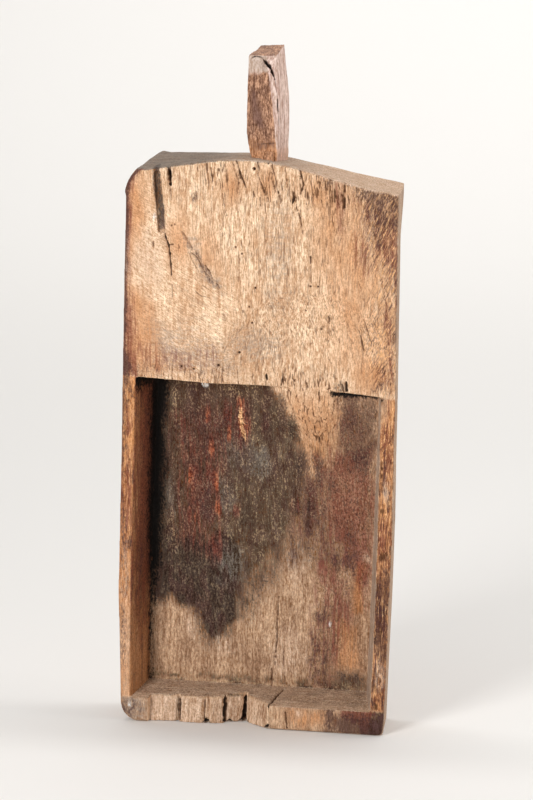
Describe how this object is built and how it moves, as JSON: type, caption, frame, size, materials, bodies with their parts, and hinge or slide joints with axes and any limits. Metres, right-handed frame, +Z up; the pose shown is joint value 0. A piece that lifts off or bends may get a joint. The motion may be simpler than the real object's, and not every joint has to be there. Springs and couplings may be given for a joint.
{
  "type": "dugout wooden tray",
  "caption": "Open dugout tray hewn from one thick plank, standing on its end, with a squared stick handle socketed and wedged into the top end grain.",
  "frame": {"origin": "middle of the plank's foot, on the surface it stands on", "axes": "+Z up the length of the plank towards the handle, -Y out of the dug face, X across the plank"},
  "size_m": [0.2726, 0.066, 0.6507],
  "materials": {
    "tray_wood": "bare, worn and stained",
    "handle_wood": "bare, hand rubbed",
    "wedge_wood": "bare, split"
  },
  "bodies": {
    "root": {"tray_block": "tray_wood", "handle": "handle_wood", "handle_wedge": "wedge_wood"}
  },
  "joints": []
}
